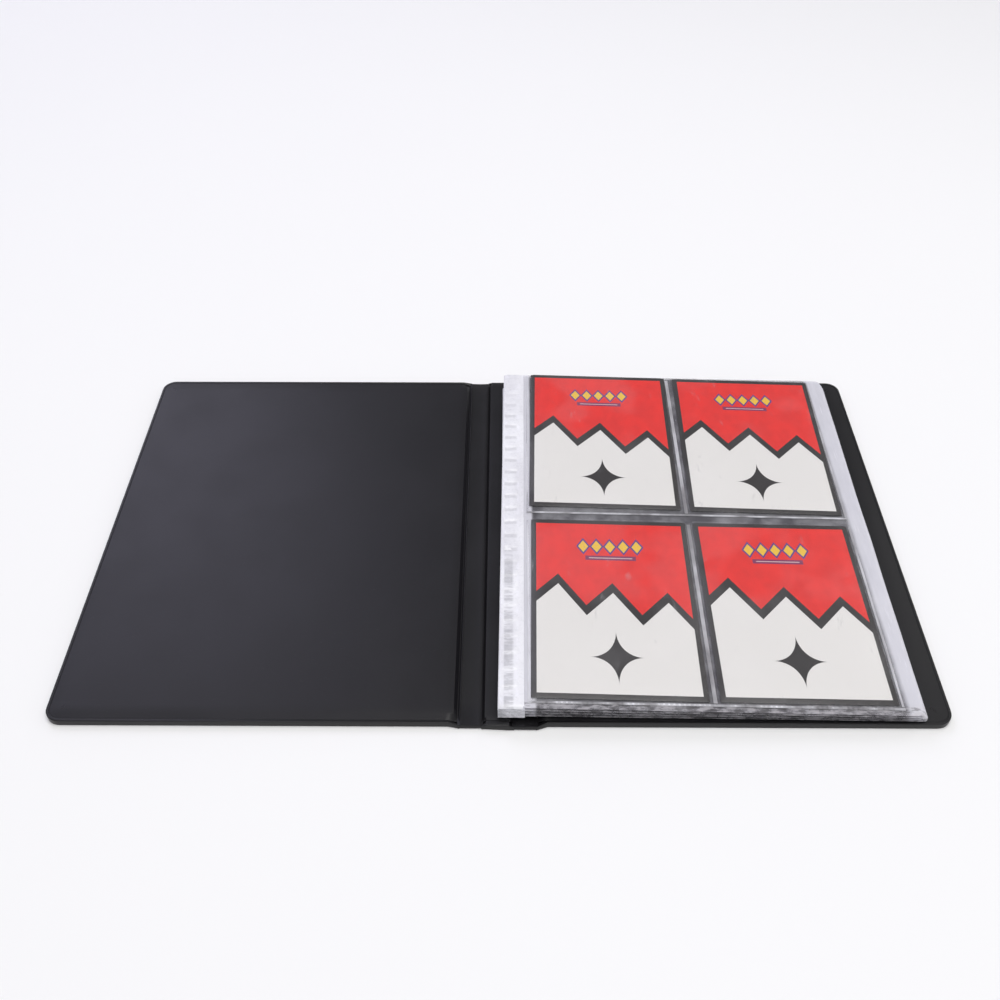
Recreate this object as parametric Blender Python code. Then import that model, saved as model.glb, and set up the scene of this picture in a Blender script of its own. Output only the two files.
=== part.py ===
"""Four-pocket trading card binder, lying open flat with every leaf on the right.

Metres, +Z up, +X to the right across the open spread, +Y towards the binder's head.
The origin is on the table, under the middle of the open spread.
"""

import math

import bmesh
import bpy

MM = 0.001

# open spread
SPREAD_WIDTH = 341 * MM
SPREAD_HEIGHT = 205 * MM
CORNER_RADIUS = 6 * MM

# covers and spine: a skin tray that holds a board and a liner
SKIN = 0.4 * MM
RIM_HEIGHT = 2.8 * MM
RIM = 1.6 * MM
LAYER_GAP = 0.3 * MM
BOARD_FLOOR = SKIN + LAYER_GAP
BOARD_TOP = 2.0 * MM
LINER_FLOOR = 2.2 * MM
LINER_TOP = 2.6 * MM
COVER_INNER_EDGE = 14.3 * MM
SHOULDER = 4.0 * MM
SPINE_HALF = 6.15 * MM
SPINE_RIM = 2.6 * MM
SPINE_RIM_HEIGHT = 2.6 * MM
RIM_SLOPE = 0.5 * MM

# hinge webs, the sealed strips between the boards
WEB_FLOOR = 0.1 * MM
WEB_TOP = 0.9 * MM
HINGE_X = 8.5 * MM
HINGE_Z = 0.6 * MM

# page block, folded on a tab that is sealed to the spine's liner
FOLD_X = 1.5 * MM
FOLD_Z = 3.0 * MM
TAB_WIDTH = 4.0 * MM
TAB_FLOOR = 2.8 * MM
TAB_TOP = 2.95 * MM
STRIP_FLOOR = 3.3 * MM
STRIP_TOP = 9.3 * MM
STRIP_RIGHT = 10.85 * MM
RIB_RISE = 0.2 * MM
RIB_PITCH = 8.0 * MM
RIB_WIDTH = 4.0 * MM

# leaves: a backing film and two rows of pocket film, turned on one crease line
LEAF_COUNT = 10
LEAF_PITCH = 0.62 * MM
FILM = 0.12 * MM
EMPTY_POCKET_DEPTH = 0.1 * MM
CREASE_X = 11.0 * MM
CREASE_Z = 10.3 * MM
LEAF_LEFT = 11.15 * MM
LEAF_RIGHT = 160.0 * MM
LEAF_FOOT = -99.5 * MM
LEAF_HEAD = 97.0 * MM
LEAF_CORNER = 2.0 * MM

# pockets of one leaf
POCKET_RIGHT = 150.6 * MM
WELD = 1.2 * MM
COLUMN_WELD_LEFT = 79.2 * MM
COLUMN_WELD_RIGHT = 81.4 * MM
ROW_LENGTH = 94.6 * MM
LOWER_ROW_FOOT = -96.6 * MM
UPPER_ROW_FOOT = 1.7 * MM
FULL_POCKET_DEPTH = 1.04 * MM
WELD_GAP = 0.1 * MM

# sleeved cards
SLEEVE_WIDTH = 66 * MM
SLEEVE_HEIGHT = 91 * MM
SLEEVE_THICK = 0.8 * MM
SLEEVE_WALL = 0.1 * MM
SLEEVE_SEAM = 1.0 * MM
CARD_WIDTH = 63 * MM
CARD_HEIGHT = 88 * MM
CARD_THICK = 0.35 * MM
CARD_CORNER = 3.0 * MM
POCKET_PLAY = 0.12 * MM
COLUMN_X = {"left": 12.6 * MM, "right": 82.0 * MM}
ROW_Y = {"lower": -94.3 * MM, "upper": 4.7 * MM}

CORNER_SEGMENTS = 6
CUT_MARGIN = 2 * MM


def clear_scene():
    for item in list(bpy.data.objects):
        bpy.data.objects.remove(item, do_unlink=True)


def make_material(name, colour, roughness, metallic=0.0, alpha=1.0):
    material = bpy.data.materials.new(name)
    material.use_nodes = True
    shader = material.node_tree.nodes["Principled BSDF"]
    shader.inputs["Base Color"].default_value = (*colour, 1.0)
    shader.inputs["Roughness"].default_value = roughness
    shader.inputs["Metallic"].default_value = metallic
    shader.inputs["Alpha"].default_value = alpha
    return material


def make_empty(name, location, parent=None):
    """An empty on a joint's axis."""
    empty = bpy.data.objects.new(name, None)
    bpy.context.collection.objects.link(empty)
    hang(empty, location, parent)
    return empty


def hang(item, location, parent):
    """Put an object at a place in the world, under its parent."""
    item.location = location
    if parent:
        item.parent = parent
        item.matrix_parent_inverse.identity()
        item.location = [a - b for a, b in zip(location, world_place(parent))]


def world_place(item):
    place = list(item.location)
    while item.parent:
        item = item.parent
        place = [a + b for a, b in zip(place, item.location)]
    return place


def add_object(name, shape, material, parent, origin=(0, 0, 0)):
    """Turn a bmesh in world coordinates into an object whose origin is at origin."""
    bmesh.ops.translate(shape, vec=[-value for value in origin], verts=shape.verts)
    bmesh.ops.recalc_face_normals(shape, faces=shape.faces)
    mesh = bpy.data.meshes.new(name)
    shape.to_mesh(mesh)
    shape.free()
    item = bpy.data.objects.new(name, mesh)
    bpy.context.collection.objects.link(item)
    mesh.materials.append(material)
    hang(item, origin, parent)
    return item


def rounded_outline(left, right, foot, head, radii):
    """Points of a rectangle whose corners are arcs: radii for foot-left, foot-right, head-right, head-left."""
    corners = (
        (left, foot, 1, 1, 180, radii[0]),
        (right, foot, -1, 1, 270, radii[1]),
        (right, head, -1, -1, 0, radii[2]),
        (left, head, 1, -1, 90, radii[3]),
    )
    points = []
    for x, y, to_x, to_y, start, radius in corners:
        if not radius:
            points.append((x, y))
            continue
        for step in range(CORNER_SEGMENTS + 1):
            angle = math.radians(start + 90 * step / CORNER_SEGMENTS)
            centre_x = x + to_x * radius
            centre_y = y + to_y * radius
            points.append((centre_x + radius * math.cos(angle), centre_y + radius * math.sin(angle)))
    return points


def slab(outline, floor, top):
    """A flat plate of the outline, from floor to top."""
    shape = bmesh.new()
    ring = [shape.verts.new((x, y, floor)) for x, y in outline]
    base = shape.faces.new(ring)
    raised = bmesh.ops.extrude_face_region(shape, geom=[base])
    verts = [item for item in raised["geom"] if isinstance(item, bmesh.types.BMVert)]
    bmesh.ops.translate(shape, vec=(0, 0, top - floor), verts=verts)
    return shape


def block(left, right, foot, head, floor, top):
    return slab([(left, foot), (right, foot), (right, head), (left, head)], floor, top)


def tray(outer, ledge, inner, floor, top):
    """A shallow tray from three outlines of equal length: the foot of its wall, its rim's outer and inner lines."""
    shape = bmesh.new()
    rings = [
        [shape.verts.new((x, y, z)) for x, y in outline]
        for outline, z in ((outer, 0.0), (ledge, top), (inner, top), (inner, floor))
    ]
    for low, high in zip(rings, rings[1:]):
        for step in range(len(low)):
            after = (step + 1) % len(low)
            shape.faces.new((low[step], low[after], high[after], high[step]))
    shape.faces.new(rings[0])
    shape.faces.new(rings[-1])
    return shape


def cut(item, cutters, material):
    """Take boxes out of an object, with one Boolean for each."""
    for number, size in enumerate(cutters):
        cutter = add_object(f"{item.name}_cutter_{number}", block(*size), material, None)
        cutter.hide_render = True
        cutter.display_type = "WIRE"
        modifier = item.modifiers.new(f"cut_{number}", "BOOLEAN")
        modifier.operation = "DIFFERENCE"
        modifier.solver = "EXACT"
        modifier.object = cutter


def cover(side, parent, materials):
    """One cover, on the left of the spine (side -1) or on its right (side 1)."""
    name = "front" if side < 0 else "back"
    edges = sorted((side * COVER_INNER_EDGE, side * SPREAD_WIDTH / 2))
    half = SPREAD_HEIGHT / 2
    radii = [CORNER_RADIUS, 0, 0, CORNER_RADIUS] if side < 0 else [0, CORNER_RADIUS, CORNER_RADIUS, 0]

    def outline(inset, hinge_inset, corner_inset):
        left = edges[0] + (inset if side < 0 else hinge_inset)
        right = edges[1] - (inset if side > 0 else hinge_inset)
        rounds = [max(radius - corner_inset, 0) if radius else 0 for radius in radii]
        return rounded_outline(left, right, -half + inset, half - inset, rounds)

    skin = tray(
        outline(0, 0, 0),
        outline(RIM_SLOPE, SHOULDER - RIM, RIM_SLOPE),
        outline(RIM, SHOULDER, RIM),
        SKIN,
        RIM_HEIGHT,
    )
    inset = RIM + LAYER_GAP
    inner = outline(inset, SHOULDER + LAYER_GAP, inset)
    add_object(f"{name}_outer_skin", skin, materials["skin"], parent)
    add_object(f"{name}_board", slab(inner, BOARD_FLOOR, BOARD_TOP), materials["board"], parent)
    add_object(f"{name}_liner", slab(inner, LINER_FLOOR, LINER_TOP), materials["liner"], parent)


def spine(parent, materials):
    half = SPREAD_HEIGHT / 2

    def outline(inset, side_inset):
        reach = SPINE_HALF - side_inset
        return rounded_outline(-reach, reach, -half + inset, half - inset, [0, 0, 0, 0])

    skin = tray(
        outline(0, 0),
        outline(RIM_SLOPE, SPINE_RIM - RIM),
        outline(RIM, SPINE_RIM),
        SKIN,
        SPINE_RIM_HEIGHT,
    )
    inner = outline(RIM + LAYER_GAP, SPINE_RIM + LAYER_GAP)
    origin = (HINGE_X, 0, HINGE_Z)
    add_object("spine_outer_skin", skin, materials["skin"], parent, origin)
    add_object("spine_board", slab(inner, BOARD_FLOOR, BOARD_TOP), materials["board"], parent, origin)
    add_object("spine_liner", slab(inner, LINER_FLOOR, LINER_TOP), materials["liner"], parent, origin)


def hinge_web(name, side, parent, materials):
    """The sealed flexible strip between a cover and the spine."""
    ends = sorted((side * (SPINE_HALF + LAYER_GAP), side * (COVER_INNER_EDGE - LAYER_GAP)))
    half = SPREAD_HEIGHT / 2 - RIM / 2
    shape = block(ends[0], ends[1], -half, half, WEB_FLOOR, WEB_TOP)
    add_object(name, shape, materials["skin"], parent)


def binding_strip(parent, materials):
    """The fused film ends of every leaf, with a crest for each rib of the weld."""
    outline = [(LEAF_FOOT, STRIP_FLOOR), (LEAF_HEAD, STRIP_FLOOR), (LEAF_HEAD, STRIP_TOP)]
    rib_count = int((LEAF_HEAD - LEAF_FOOT) / RIB_PITCH)
    first = LEAF_FOOT + ((LEAF_HEAD - LEAF_FOOT) - (rib_count - 1) * RIB_PITCH) / 2
    crest = STRIP_TOP + RIB_RISE
    for number in reversed(range(rib_count)):
        middle = first + number * RIB_PITCH
        outline += [
            (middle + RIB_WIDTH / 2, STRIP_TOP),
            (middle + RIB_WIDTH / 2 - RIB_RISE, crest),
            (middle - RIB_WIDTH / 2 + RIB_RISE, crest),
            (middle - RIB_WIDTH / 2, STRIP_TOP),
        ]
    outline.append((LEAF_FOOT, STRIP_TOP))
    shape = bmesh.new()
    ring = [shape.verts.new((FOLD_X, y, z)) for y, z in outline]
    side = shape.faces.new(ring)
    pushed = bmesh.ops.extrude_face_region(shape, geom=[side])
    verts = [item for item in pushed["geom"] if isinstance(item, bmesh.types.BMVert)]
    bmesh.ops.translate(shape, vec=(STRIP_RIGHT - FOLD_X, 0, 0), verts=verts)
    add_object("binding_strip", shape, materials["film"], parent, (FOLD_X, 0, FOLD_Z))


def leaf(number, parent, materials):
    """One leaf's three films. The top leaf, number 1, has pockets deep enough for its sleeved cards.

    Gives the height at which the pockets' insides start.
    """
    name = f"leaf_{number:02d}"
    floor = STRIP_FLOOR + (LEAF_COUNT - number) * LEAF_PITCH
    origin = (CREASE_X, 0, CREASE_Z)
    corners = [0, LEAF_CORNER, LEAF_CORNER, 0]
    backing = rounded_outline(LEAF_LEFT, LEAF_RIGHT, LEAF_FOOT, LEAF_HEAD, corners)
    add_object(f"{name}_backing", slab(backing, floor, floor + FILM), materials["film"], parent, origin)

    pocket_floor = floor + FILM
    for row, foot in (("lower", LOWER_ROW_FOOT), ("upper", UPPER_ROW_FOOT)):
        head = foot + ROW_LENGTH
        if number > 1:
            low = pocket_floor + EMPTY_POCKET_DEPTH
            film = block(LEAF_LEFT, POCKET_RIGHT, foot, head, low, low + FILM)
            add_object(f"{name}_{row}_pockets", film, materials["film"], parent, origin)
            continue
        top = pocket_floor + FULL_POCKET_DEPTH + FILM
        film = block(LEAF_LEFT, POCKET_RIGHT, foot, head, pocket_floor + WELD_GAP, top)
        pockets = add_object(f"{name}_{row}_pockets", film, materials["film"], parent, origin)
        cutters = [
            (left, right, foot + WELD, head + CUT_MARGIN, floor, top - FILM)
            for left, right in (
                (LEAF_LEFT + WELD, COLUMN_WELD_LEFT),
                (COLUMN_WELD_RIGHT, POCKET_RIGHT - WELD),
            )
        ]
        cut(pockets, cutters, materials["film"])
    return floor + FILM


def sleeved_card(row, column, pocket_floor, parent, materials):
    """A printed sleeve that is open at its head, with a card in it."""
    left = COLUMN_X[column]
    foot = ROW_Y[row]
    floor = pocket_floor + POCKET_PLAY
    origin = (left + SLEEVE_WIDTH / 2, foot + SLEEVE_HEIGHT / 2, floor)
    body = make_empty(f"{row}_{column}_slide", origin, parent)

    size = (left, left + SLEEVE_WIDTH, foot, foot + SLEEVE_HEIGHT, floor, floor + SLEEVE_THICK)
    sleeve = add_object(f"{row}_{column}_sleeve", block(*size), materials["sleeve"], body, origin)
    mouth = (
        left + SLEEVE_SEAM,
        left + SLEEVE_WIDTH - SLEEVE_SEAM,
        foot + SLEEVE_SEAM,
        foot + SLEEVE_HEIGHT + CUT_MARGIN,
        floor + SLEEVE_WALL,
        floor + SLEEVE_THICK - SLEEVE_WALL,
    )
    cut(sleeve, [mouth], materials["sleeve"])

    card_left = left + (SLEEVE_WIDTH - CARD_WIDTH) / 2
    card_foot = foot + SLEEVE_SEAM + LAYER_GAP
    card_floor = floor + (SLEEVE_THICK - CARD_THICK) / 2
    outline = rounded_outline(
        card_left, card_left + CARD_WIDTH, card_foot, card_foot + CARD_HEIGHT, [CARD_CORNER] * 4
    )
    shape = slab(outline, card_floor, card_floor + CARD_THICK)
    add_object(f"{row}_{column}_card", shape, materials["card"], body, origin)


def build():
    clear_scene()
    materials = {
        "skin": make_material("black_vinyl", (0.012, 0.012, 0.014), 0.42),
        "liner": make_material("satin_lining", (0.035, 0.034, 0.042), 0.38),
        "board": make_material("grey_board", (0.32, 0.30, 0.27), 0.9),
        "film": make_material("clear_film", (0.82, 0.82, 0.88), 0.12, alpha=0.45),
        "sleeve": make_material("printed_sleeve", (0.72, 0.07, 0.06), 0.3),
        "card": make_material("card_stock", (0.85, 0.83, 0.78), 0.55),
    }
    back_cover = make_empty("back_cover_frame", (0, 0, 0))
    cover(1, back_cover, materials)

    spine_hinge = make_empty("spine_hinge", (HINGE_X, 0, HINGE_Z), back_cover)
    spine(spine_hinge, materials)
    hinge_web("back_hinge_web", 1, spine_hinge, materials)
    tab = block(FOLD_X + LAYER_GAP, FOLD_X + TAB_WIDTH, LEAF_FOOT, LEAF_HEAD, TAB_FLOOR, TAB_TOP)
    add_object("binding_tab", tab, materials["film"], spine_hinge)

    cover_hinge = make_empty("front_cover_hinge", (-HINGE_X, 0, HINGE_Z), spine_hinge)
    cover(-1, cover_hinge, materials)
    hinge_web("front_hinge_web", -1, cover_hinge, materials)

    holder = make_empty("page_block_fold", (FOLD_X, 0, FOLD_Z), spine_hinge)
    binding_strip(holder, materials)
    for number in range(LEAF_COUNT, 0, -1):
        holder = make_empty(f"leaf_{number:02d}_turn", (CREASE_X, 0, CREASE_Z), holder)
        pocket_floor = leaf(number, holder, materials)
    for row in ROW_Y:
        for column in COLUMN_X:
            sleeved_card(row, column, pocket_floor, holder, materials)


build()
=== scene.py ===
import math

import bmesh
import bpy
from mathutils import Matrix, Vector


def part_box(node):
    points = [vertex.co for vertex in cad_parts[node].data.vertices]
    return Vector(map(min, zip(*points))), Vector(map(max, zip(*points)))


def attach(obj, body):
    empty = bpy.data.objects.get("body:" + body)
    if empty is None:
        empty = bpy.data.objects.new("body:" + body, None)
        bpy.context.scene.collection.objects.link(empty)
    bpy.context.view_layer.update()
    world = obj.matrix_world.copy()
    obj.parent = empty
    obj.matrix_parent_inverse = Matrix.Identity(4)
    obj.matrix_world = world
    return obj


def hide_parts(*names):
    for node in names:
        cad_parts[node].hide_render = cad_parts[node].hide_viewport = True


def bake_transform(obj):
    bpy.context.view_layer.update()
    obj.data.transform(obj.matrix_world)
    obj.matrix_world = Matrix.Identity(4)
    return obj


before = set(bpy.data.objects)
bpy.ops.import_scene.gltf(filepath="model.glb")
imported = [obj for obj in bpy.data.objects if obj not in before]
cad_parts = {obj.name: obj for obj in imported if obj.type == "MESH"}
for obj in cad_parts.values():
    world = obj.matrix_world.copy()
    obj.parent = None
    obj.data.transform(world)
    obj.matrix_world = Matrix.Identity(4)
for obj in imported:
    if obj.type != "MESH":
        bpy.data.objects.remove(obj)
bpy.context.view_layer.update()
print("frame loaded:", len(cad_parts), "nodes")

mm = 0.001


# tools for shaping a piece by hand

def letGo():
    if bpy.context.mode != "OBJECT":
        bpy.ops.object.mode_set(mode="OBJECT")
    bpy.ops.object.select_all(action="DESELECT")


def takeUp(piece):
    letGo()
    bpy.context.view_layer.objects.active = piece
    piece.select_set(True)


def openMesh(piece):
    takeUp(piece)
    bpy.ops.object.mode_set(mode="EDIT")


def closeMesh():
    bpy.ops.object.mode_set(mode="OBJECT")


def pick(piece, kind, test):  # selects what passes the test, by its middle and its normal
    bpy.ops.mesh.select_mode(type=kind)
    bpy.ops.mesh.select_all(action="DESELECT")
    shape = bmesh.from_edit_mesh(piece.data)
    if kind == "FACE":
        for face in shape.faces:
            face.select_set(bool(test(face.calc_center_median(), face.normal)))
    elif kind == "EDGE":
        for edge in shape.edges:
            a, b = (point.co for point in edge.verts)
            if test((a + b) / 2, (b - a).normalized()):
                edge.select_set(True)
    else:
        for point in shape.verts:
            if test(point.co, point.normal):
                point.select_set(True)
    bmesh.update_edit_mesh(piece.data)


def moveBy(x=0.0, y=0.0, z=0.0):
    bpy.ops.transform.translate(value=(x, y, z))


def turnBy(angle, axis, centre):
    # with no window the operator turns the other way
    bpy.ops.transform.rotate(value=-angle, orient_axis=axis, center_override=centre)


def addBlock(name, low, high):
    letGo()
    middle = [(a + b) / 2 for a, b in zip(low, high)]
    bpy.ops.mesh.primitive_cube_add(size=1, location=middle)
    piece = bpy.context.object
    piece.name = name
    piece.scale = [b - a for a, b in zip(low, high)]
    bpy.ops.object.transform_apply(location=True, rotation=True, scale=True)
    return piece


def addSheet(name, xLines, yLines, height, cornerRadius=0.0):  # a flat sheet, ruled across and along
    letGo()
    middle = ((xLines[0] + xLines[-1]) / 2, (yLines[0] + yLines[-1]) / 2, height)
    bpy.ops.mesh.primitive_plane_add(size=1, location=middle)
    piece = bpy.context.object
    piece.name = name
    piece.scale = (xLines[-1] - xLines[0], yLines[-1] - yLines[0], 1)
    bpy.ops.object.transform_apply(location=True, rotation=True, scale=True)
    openMesh(piece)
    if cornerRadius:
        pick(piece, "VERT", lambda at, way: at.x > middle[0])
        bpy.ops.mesh.bevel(offset=cornerRadius, segments=5, affect="VERTICES")
    rule(xLines[1:-1], (1, 0, 0))
    rule(yLines[1:-1], (0, 1, 0))
    closeMesh()
    return piece


def rule(lines, way):  # cuts the open mesh along parallel planes
    for line in lines:
        bpy.ops.mesh.select_all(action="SELECT")
        bpy.ops.mesh.bisect(plane_co=[line * part for part in way], plane_no=way)


def spread(start, end, count):
    return [start + (end - start) * step / count for step in range(count + 1)]


def finishWith(piece, kind, **settings):
    takeUp(piece)
    modifier = piece.modifiers.new(kind.lower(), kind)
    for key, value in settings.items():
        setattr(modifier, key, value)
    bpy.ops.object.modifier_apply(modifier=modifier.name)


def thicken(piece, depth, offset=-1.0, **settings):
    finishWith(piece, "SOLIDIFY", thickness=depth, offset=offset, use_even_offset=True, **settings)


def smoothOver(piece, angle=35):
    takeUp(piece)
    bpy.ops.object.shade_smooth_by_angle(angle=math.radians(angle))


def copyOf(piece, name):
    takeUp(piece)
    bpy.ops.object.duplicate(linked=False)
    twin = bpy.context.object
    twin.name = name
    return twin


def ripple(piece, waveName, waveLength, height, weight, middle=0.5):  # soft waves where weight says so
    texture = bpy.data.textures.new(waveName, "CLOUDS")
    texture.noise_scale = waveLength
    texture.noise_depth = 1
    group = piece.vertex_groups.new(name="loose")
    for point in piece.data.vertices:
        group.add([point.index], max(0.0, min(1.0, weight(point.co))), "REPLACE")
    finishWith(
        piece, "DISPLACE", texture=texture, strength=height, mid_level=middle,
        direction="Z", texture_coords="LOCAL", vertex_group="loose",
    )
    piece.vertex_groups.remove(piece.vertex_groups["loose"])


def roughTexture(name, grain):
    texture = bpy.data.textures.new(name, "CLOUDS")
    texture.noise_scale = grain
    texture.noise_depth = 2
    return texture


def ramp(value, start, end):
    return max(0.0, min(1.0, (value - start) / (end - start)))


def dress(piece, *finishes):
    piece.data.materials.clear()
    for finish in finishes:
        piece.data.materials.append(finish.material)


# shader writing: a wire is a socket that can be used in sums

class Wire:
    def __init__(self, finish, socket):
        self.finish = finish
        self.socket = socket

    def sum(self, operation, other, swapped=False):
        pair = {0: other, 1: self} if swapped else {0: self, 1: other}
        return self.finish.node("ShaderNodeMath", {"operation": operation}, pair)

    def __add__(self, other):
        return self.sum("ADD", other)

    def __radd__(self, other):
        return self.sum("ADD", other, True)

    def __sub__(self, other):
        return self.sum("SUBTRACT", other)

    def __rsub__(self, other):
        return self.sum("SUBTRACT", other, True)

    def __mul__(self, other):
        return self.sum("MULTIPLY", other)

    def __rmul__(self, other):
        return self.sum("MULTIPLY", other, True)

    def __truediv__(self, other):
        return self.sum("DIVIDE", other)

    def __rtruediv__(self, other):
        return self.sum("DIVIDE", other, True)

    def __pow__(self, other):
        return self.sum("POWER", other)

    def __abs__(self):
        return self.finish.node("ShaderNodeMath", {"operation": "ABSOLUTE"}, {0: self})

    def __lt__(self, other):
        return self.sum("LESS_THAN", other)

    def __gt__(self, other):
        return self.sum("GREATER_THAN", other)


class Finish:
    def __init__(self, name, **fixed):
        self.material = bpy.data.materials.new(name)
        self.material.use_nodes = True
        self.tree = self.material.node_tree
        self.shader = self.tree.nodes["Principled BSDF"]
        for key, value in fixed.items():
            self.shader.inputs[key.replace("_", " ")].default_value = value

    def node(self, kind, settings=None, sockets=None, output=0):
        made = self.tree.nodes.new(kind)
        for key, value in (settings or {}).items():
            if key == "stops":
                self.setStops(made.color_ramp, value)
            else:
                setattr(made, key, value)
        for key, value in (sockets or {}).items():
            self.join(made.inputs[key], value)
        return Wire(self, made.outputs[output])

    def setStops(self, colourRamp, stops):
        while len(colourRamp.elements) < len(stops):
            colourRamp.elements.new(1.0)
        for element, (place, colour) in zip(colourRamp.elements, stops):
            element.position = place
            element.color = (*colour, 1.0)

    def join(self, socket, value):
        if isinstance(value, Wire):
            self.tree.links.new(value.socket, socket)
        elif isinstance(value, (tuple, list)) and socket.type == "RGBA" and len(value) == 3:
            socket.default_value = (*value, 1.0)
        else:
            socket.default_value = value

    def feed(self, **wires):
        for key, value in wires.items():
            self.join(self.shader.inputs[key.replace("_", " ")], value)

    def place(self):  # where the point is on the piece at rest
        return self.node("ShaderNodeTexCoord", output=3)

    def mapped(self, output=2):
        return self.node("ShaderNodeTexCoord", output=output)

    def split(self, vector):
        separate = self.node("ShaderNodeSeparateXYZ", sockets={0: vector})
        return [Wire(self, socket) for socket in separate.socket.node.outputs]

    def stretched(self, vector, scale):
        return self.node("ShaderNodeMapping", sockets={"Vector": vector, "Scale": scale})

    def noise(self, vector, scale, detail=2.0, roughness=0.5):
        return self.node(
            "ShaderNodeTexNoise",
            sockets={"Vector": vector, "Scale": scale, "Detail": detail, "Roughness": roughness}
        )

    def cells(self, vector, scale, feature="F1"):
        return self.node("ShaderNodeTexVoronoi", {"feature": feature}, {"Vector": vector, "Scale": scale})

    def between(self, value, low, high, toLow=0.0, toHigh=1.0, smooth=True):
        return self.node(
            "ShaderNodeMapRange", {"interpolation_type": "SMOOTHSTEP" if smooth else "LINEAR"},
            {0: value, 1: low, 2: high, 3: toLow, 4: toHigh},
        )

    def blendColours(self, factor, first, second, how="MIX"):
        return self.node(
            "ShaderNodeMix", {"data_type": "RGBA", "blend_type": how},
            {0: factor, 6: first, 7: second}, output=2
        )

    def bump(self, height, distance, strength=1.0, after=None):
        sockets = {"Height": height, "Distance": distance, "Strength": strength}
        if after:
            sockets["Normal"] = after
        return self.node("ShaderNodeBump", sockets=sockets)


# finishes

vinylLook = {
    "black": (0.0055, 0.0052, 0.0062),
    "worn": (0.014, 0.0132, 0.0156),
    "roughness": 0.37,
    "grainScale": 2600.0,
    "grainDepth": 0.000035,
}


def makeVinyl(name, colour, worn, roughness, grainDepth):
    vinyl = Finish(name, IOR=1.5, Specular_IOR_Level=0.36)
    at = vinyl.place()
    x, y, z = vinyl.split(at)[:3]
    grain = vinyl.cells(at, vinylLook["grainScale"], "SMOOTH_F1")
    dimple = vinyl.noise(at, vinylLook["grainScale"] * 0.45, 3.0, 0.6)
    cloud = vinyl.noise(at, 28.0, 3.0, 0.55)
    haze = vinyl.between(cloud, 0.35, 0.75)
    rubbed = vinyl.noise(vinyl.stretched(at, (1.0, 6.0, 1.0)), 420.0, 2.0, 0.7)
    scuff = vinyl.between(rubbed, 0.66, 0.80)
    dust = vinyl.between(vinyl.cells(at, 190.0), 0.035, 0.0)
    shade = vinyl.blendColours(haze * 0.30, colour, worn)
    shade = vinyl.blendColours(scuff * 0.18 + dust * 0.08, shade, (0.09, 0.09, 0.10))
    vinyl.feed(
        Base_Color=shade,
        Roughness=roughness + haze * 0.05 + scuff * 0.10 + (grain - 0.4) * 0.06,
        Normal=vinyl.bump(grain * 0.7 + dimple * 0.6, grainDepth, 0.5, vinyl.bump(cloud, 0.0006, 0.25)),
    )
    return vinyl


coverVinyl = makeVinyl(
    "coverVinyl", vinylLook["black"], vinylLook["worn"], vinylLook["roughness"], vinylLook["grainDepth"]
)
liningVinyl = makeVinyl("liningVinyl", (0.0058, 0.0054, 0.0070), (0.0098, 0.0092, 0.0122), 0.37, 0.00002)


def makeBoard():
    board = Finish("greyBoard", Roughness=0.9)
    at = board.place()
    fibre = board.noise(board.stretched(at, (1.0, 3.0, 8.0)), 900.0, 4.0, 0.7)
    fleck = board.between(board.cells(at, 700.0), 0.18, 0.05)
    shade = board.blendColours(fibre, (0.24, 0.225, 0.20), (0.40, 0.38, 0.34))
    shade = board.blendColours(fleck * 0.5, shade, (0.12, 0.11, 0.10))
    board.feed(Base_Color=shade, Roughness=0.82 + fibre * 0.15, Normal=board.bump(fibre, 0.00008, 0.6))
    return board


greyBoard = makeBoard()

filmLook = {
    "milk": (0.80, 0.795, 0.86),
    "shade": (0.17, 0.165, 0.185),
    "marginStart": 151.0 * mm,
}


def makeFilm(name, clear, milky, roughness, marginStart):  # clear in the pockets, milky elsewhere
    film = Finish(name, IOR=1.46, Specular_IOR_Level=0.6)
    at = film.place()
    x, y, z = film.split(at)[:3]
    margin = film.between(x, marginStart, marginStart + 3 * mm)
    left = film.between(x, 15.0 * mm, 13.6 * mm)
    foot = film.between(y, -96.6 * mm, -98.6 * mm)
    edge = margin + left - margin * left
    streak = film.noise(film.stretched(at, (1.0, 0.12, 1.0)), 240.0, 3.0, 0.6)
    mottle = film.noise(at, 85.0, 4.0, 0.65)
    scratch = film.between(film.noise(film.stretched(at, (14.0, 0.7, 1.0)), 120.0, 2.0, 0.5), 0.64, 0.72)
    tint = film.blendColours(edge, filmLook["shade"], filmLook["milk"])
    tint = film.blendColours(film.between(mottle, 0.35, 0.70) * 0.35, tint, (0.90, 0.90, 0.95))
    # painted light at the foot: pale streaks paint highlights and dark streaks paint shade on the stacked
    # film edges
    ragged = film.noise(film.stretched(at, (0.35, 1.0, 1.0)), 620.0, 3.0, 0.65)
    tint = film.blendColours(foot * film.between(ragged, 0.42, 0.66) * 0.8, tint, (0.60, 0.58, 0.61))
    tint = film.blendColours(foot * film.between(ragged, 0.50, 0.36) * 0.55, tint, (0.13, 0.12, 0.12))
    cover = (clear + (milky - clear) * edge + (streak - 0.5) * 0.22 + scratch * 0.10
             + foot * (ragged - 0.30) * 0.7)
    film.feed(
        Base_Color=tint,
        Alpha=film.between(cover, 0.0, 1.0, 0.0, 1.0, smooth=False),
        Roughness=roughness + mottle * 0.14,
        Normal=film.bump(mottle * 0.6 + streak * 0.4, 0.00022, 0.55),
    )
    return film


leafFilm = makeFilm("leafFilm", 0.34, 0.58, 0.14, filmLook["marginStart"])
pocketFilm = makeFilm("pocketFilm", 0.24, 0.52, 0.10, filmLook["marginStart"])


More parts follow.
